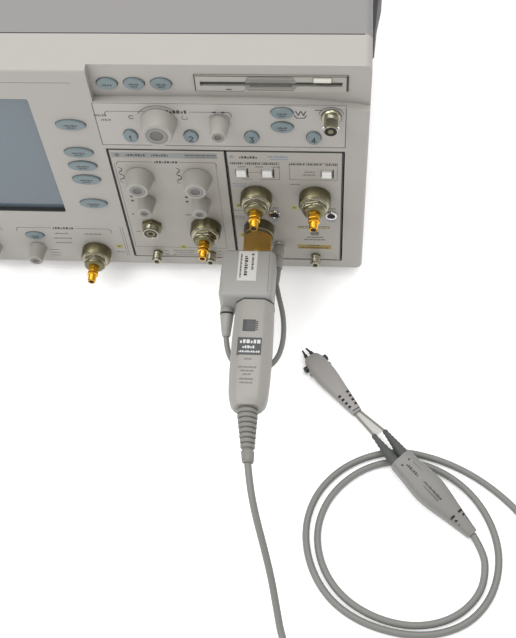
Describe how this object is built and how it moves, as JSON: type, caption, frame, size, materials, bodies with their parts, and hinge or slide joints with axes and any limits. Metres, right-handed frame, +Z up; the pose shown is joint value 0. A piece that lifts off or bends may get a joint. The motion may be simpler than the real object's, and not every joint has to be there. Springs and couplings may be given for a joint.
{
  "type": "oscilloscope",
  "caption": "Bench oscilloscope with a colour display, two slide-in input modules, rotary knobs, spring keys, strap handles and an active probe lying on the bench.",
  "frame": {"origin": "on the bench, below the middle of the instrument, not counting the probe and its leads", "axes": "+X to the right as the user sees the front, +Y from the front to the back, +Z up"},
  "size_m": [0.5698, 0.9115, 0.227],
  "materials": {
    "bezel_plastic": "fine textured warm light grey moulding",
    "module_paint": "satin warm light grey paint",
    "cover_paint": "textured mid grey paint",
    "overlay_film": "smooth printed film",
    "screen_glass": "blue-grey display window",
    "panel_black": "black moulding",
    "key_plastic": "pale teal-grey keys",
    "white_key": "white keys",
    "knob_plastic": "light grey knobs",
    "handle_rubber": "dark grey strap",
    "foot_plastic": "dark grey moulding",
    "nickel": "dull nickel plate",
    "bail_steel": "bright wire",
    "sheet_metal": "plain folded sheet",
    "board_green": "solder-masked laminate",
    "drive_plastic": "warm ivory moulding",
    "eject_plastic": "off-white moulding",
    "screw_steel": "zinc-plated",
    "adapter_plastic": "pale grey moulding",
    "latch_plastic": "mid grey ribbed moulding",
    "cable_jacket": "soft grey jacket",
    "boot_rubber": "dark grey boots"
  },
  "bodies": {
    "mainframe": {"front_bezel": "bezel_plastic", "control_overlay": "overlay_film", "display_window": "screen_glass", "display_panel": "panel_black", "top_cover": "cover_paint", "bottom_cover": "cover_paint", "rear_panel": "cover_paint", "chassis_frame": "sheet_metal", "circuit_boards": "board_green", "disk_drive": "drive_plastic", "power_supply": "sheet_metal", "fan_frame": "panel_black", "feet": "foot_plastic", "strap_handles": "handle_rubber", "case_screws": "screw_steel", "panel_connectors": "nickel"},
    "mode_key_1": {"mode_key_1": "key_plastic"},
    "mode_key_2": {"mode_key_2": "key_plastic"},
    "mode_key_3": {"mode_key_3": "key_plastic"},
    "mode_key_4": {"mode_key_4": "key_plastic"},
    "mode_key_5": {"mode_key_5": "key_plastic"},
    "setup_key": {"setup_key": "key_plastic"},
    "local_key": {"local_key": "key_plastic"},
    "channel_key_1": {"channel_key_1": "key_plastic"},
    "channel_key_2": {"channel_key_2": "key_plastic"},
    "channel_key_3": {"channel_key_3": "key_plastic"},
    "channel_key_4": {"channel_key_4": "key_plastic"},
    "trigger_key": {"trigger_key": "key_plastic"},
    "run_key": {"run_key": "key_plastic"},
    "stop_key": {"stop_key": "key_plastic"},
    "clear_key": {"clear_key": "key_plastic"},
    "power_button": {"power_button": "knob_plastic"},
    "eject_button": {"eject_button": "eject_plastic"},
    "disk_door": {"disk_door": "drive_plastic"},
    "horizontal_scale_knob": {"horizontal_scale_knob": "knob_plastic"},
    "horizontal_position_knob": {"horizontal_position_knob": "knob_plastic"},
    "trigger_level_knob": {"trigger_level_knob": "knob_plastic"},
    "marker_knob": {"marker_knob": "knob_plastic"},
    "fan_rotor": {"fan_rotor": "panel_black"},
    "tilt_bail": {"tilt_bail": "bail_steel"},
    "left_module": {"left_module": "module_paint", "left_module_connectors": "nickel"},
    "right_module": {"right_module": "module_paint", "right_module_connectors": "nickel", "probe_cable": "cable_jacket", "adapter_cable": "cable_jacket", "adapter_plug": "adapter_plastic", "adapter_housing": "adapter_plastic", "pod_housing": "adapter_plastic", "probe_amplifier": "adapter_plastic", "probe_leads": "boot_rubber", "probe_head": "adapter_plastic"},
    "channel_1_scale_knob": {"channel_1_scale_knob": "knob_plastic"},
    "channel_1_offset_knob": {"channel_1_offset_knob": "knob_plastic"},
    "channel_2_scale_knob": {"channel_2_scale_knob": "knob_plastic"},
    "channel_2_offset_knob": {"channel_2_offset_knob": "knob_plastic"},
    "module_key_1": {"module_key_1": "white_key"},
    "module_key_2": {"module_key_2": "white_key"},
    "module_key_3": {"module_key_3": "white_key"},
    "pod_latch": {"pod_latch": "latch_plastic"}
  },
  "joints": [
    {"name": "mode_key_1_press", "type": "slide", "parent": "mainframe", "child": "mode_key_1", "axis": [0, 1, 0], "range_m": [0, 0.0015], "stiffness_N_per_m": 400},
    {"name": "mode_key_2_press", "type": "slide", "parent": "mainframe", "child": "mode_key_2", "axis": [0, 1, 0], "range_m": [0, 0.0015], "stiffness_N_per_m": 400},
    {"name": "mode_key_3_press", "type": "slide", "parent": "mainframe", "child": "mode_key_3", "axis": [0, 1, 0], "range_m": [0, 0.0015], "stiffness_N_per_m": 400},
    {"name": "mode_key_4_press", "type": "slide", "parent": "mainframe", "child": "mode_key_4", "axis": [0, 1, 0], "range_m": [0, 0.0015], "stiffness_N_per_m": 400},
    {"name": "mode_key_5_press", "type": "slide", "parent": "mainframe", "child": "mode_key_5", "axis": [0, 1, 0], "range_m": [0, 0.0015], "stiffness_N_per_m": 400},
    {"name": "setup_key_press", "type": "slide", "parent": "mainframe", "child": "setup_key", "axis": [0, 1, 0], "range_m": [0, 0.0015], "stiffness_N_per_m": 400},
    {"name": "local_key_press", "type": "slide", "parent": "mainframe", "child": "local_key", "axis": [0, 1, 0], "range_m": [0, 0.0015], "stiffness_N_per_m": 400},
    {"name": "channel_key_1_press", "type": "slide", "parent": "mainframe", "child": "channel_key_1", "axis": [0, 1, 0], "range_m": [0, 0.0015], "stiffness_N_per_m": 400},
    {"name": "channel_key_2_press", "type": "slide", "parent": "mainframe", "child": "channel_key_2", "axis": [0, 1, 0], "range_m": [0, 0.0015], "stiffness_N_per_m": 400},
    {"name": "channel_key_3_press", "type": "slide", "parent": "mainframe", "child": "channel_key_3", "axis": [0, 1, 0], "range_m": [0, 0.0015], "stiffness_N_per_m": 400},
    {"name": "channel_key_4_press", "type": "slide", "parent": "mainframe", "child": "channel_key_4", "axis": [0, 1, 0], "range_m": [0, 0.0015], "stiffness_N_per_m": 400},
    {"name": "trigger_key_press", "type": "slide", "parent": "mainframe", "child": "trigger_key", "axis": [0, 1, 0], "range_m": [0, 0.0015], "stiffness_N_per_m": 400},
    {"name": "run_key_press", "type": "slide", "parent": "mainframe", "child": "run_key", "axis": [0, 1, 0], "range_m": [0, 0.0015], "stiffness_N_per_m": 400},
    {"name": "stop_key_press", "type": "slide", "parent": "mainframe", "child": "stop_key", "axis": [0, 1, 0], "range_m": [0, 0.0015], "stiffness_N_per_m": 400},
    {"name": "clear_key_press", "type": "slide", "parent": "mainframe", "child": "clear_key", "axis": [0, 1, 0], "range_m": [0, 0.0015], "stiffness_N_per_m": 400},
    {"name": "power_button_press", "type": "slide", "parent": "mainframe", "child": "power_button", "axis": [0, 1, 0], "range_m": [0, 0.0025], "stiffness_N_per_m": 400},
    {"name": "eject_button_press", "type": "slide", "parent": "mainframe", "child": "eject_button", "axis": [0, 1, 0], "range_m": [0, 0.003], "stiffness_N_per_m": 300},
    {"name": "disk_door_swing", "type": "hinge", "parent": "mainframe", "child": "disk_door", "pos_m": [0.14745, -0.2693, 0.2127], "axis": [1, 0, 0], "range_deg": [0, 72], "stiffness_Nm_per_rad": 0.001},
    {"name": "horizontal_scale_turn", "type": "hinge", "parent": "mainframe", "child": "horizontal_scale_knob", "pos_m": [0.0702, -0.2765, 0.1808], "axis": [0, 1, 0], "continuous": true},
    {"name": "horizontal_position_turn", "type": "hinge", "parent": "mainframe", "child": "horizontal_position_knob", "pos_m": [0.1118, -0.2765, 0.1806], "axis": [0, 1, 0], "continuous": true},
    {"name": "trigger_level_turn", "type": "hinge", "parent": "mainframe", "child": "trigger_level_knob", "pos_m": [-0.0496, -0.2765, 0.0325], "axis": [0, 1, 0], "continuous": true},
    {"name": "marker_turn", "type": "hinge", "parent": "mainframe", "child": "marker_knob", "pos_m": [-0.087, -0.2765, 0.0325], "axis": [0, 1, 0], "continuous": true},
    {"name": "fan_spin", "type": "hinge", "parent": "mainframe", "child": "fan_rotor", "pos_m": [-0.1, 0.2735, 0.134], "axis": [0, 1, 0], "continuous": true},
    {"name": "tilt_bail_fold", "type": "hinge", "parent": "mainframe", "child": "tilt_bail", "pos_m": [0, -0.2145, 0.0068], "axis": [-1, 0, 0], "range_deg": [0, 100]},
    {"name": "left_module_slide", "type": "slide", "parent": "mainframe", "child": "left_module", "axis": [0, -1, 0], "range_m": [0, 0.028]},
    {"name": "right_module_slide", "type": "slide", "parent": "mainframe", "child": "right_module", "axis": [0, -1, 0], "range_m": [0, 0.3]},
    {"name": "channel_1_scale_turn", "type": "hinge", "parent": "left_module", "child": "channel_1_scale_knob", "pos_m": [0.0479, -0.2765, 0.1223], "axis": [0, 1, 0], "continuous": true},
    {"name": "channel_1_offset_turn", "type": "hinge", "parent": "left_module", "child": "channel_1_offset_knob", "pos_m": [0.049, -0.2765, 0.0952], "axis": [0, 1, 0], "continuous": true},
    {"name": "channel_2_scale_turn", "type": "hinge", "parent": "left_module", "child": "channel_2_scale_knob", "pos_m": [0.0902, -0.2765, 0.1223], "axis": [0, 1, 0], "continuous": true},
    {"name": "channel_2_offset_turn", "type": "hinge", "parent": "left_module", "child": "channel_2_offset_knob", "pos_m": [0.0906, -0.2765, 0.0952], "axis": [0, 1, 0], "continuous": true},
    {"name": "module_key_1_press", "type": "slide", "parent": "right_module", "child": "module_key_1", "axis": [0, 1, 0], "range_m": [0, 0.0015], "stiffness_N_per_m": 300},
    {"name": "module_key_2_press", "type": "slide", "parent": "right_module", "child": "module_key_2", "axis": [0, 1, 0], "range_m": [0, 0.0015], "stiffness_N_per_m": 300},
    {"name": "module_key_3_press", "type": "slide", "parent": "right_module", "child": "module_key_3", "axis": [0, 1, 0], "range_m": [0, 0.0015], "stiffness_N_per_m": 300},
    {"name": "pod_latch_slide", "type": "slide", "parent": "right_module", "child": "pod_latch", "axis": [0, 1, 0], "range_m": [0, 0.0015], "stiffness_N_per_m": 500}
  ]
}
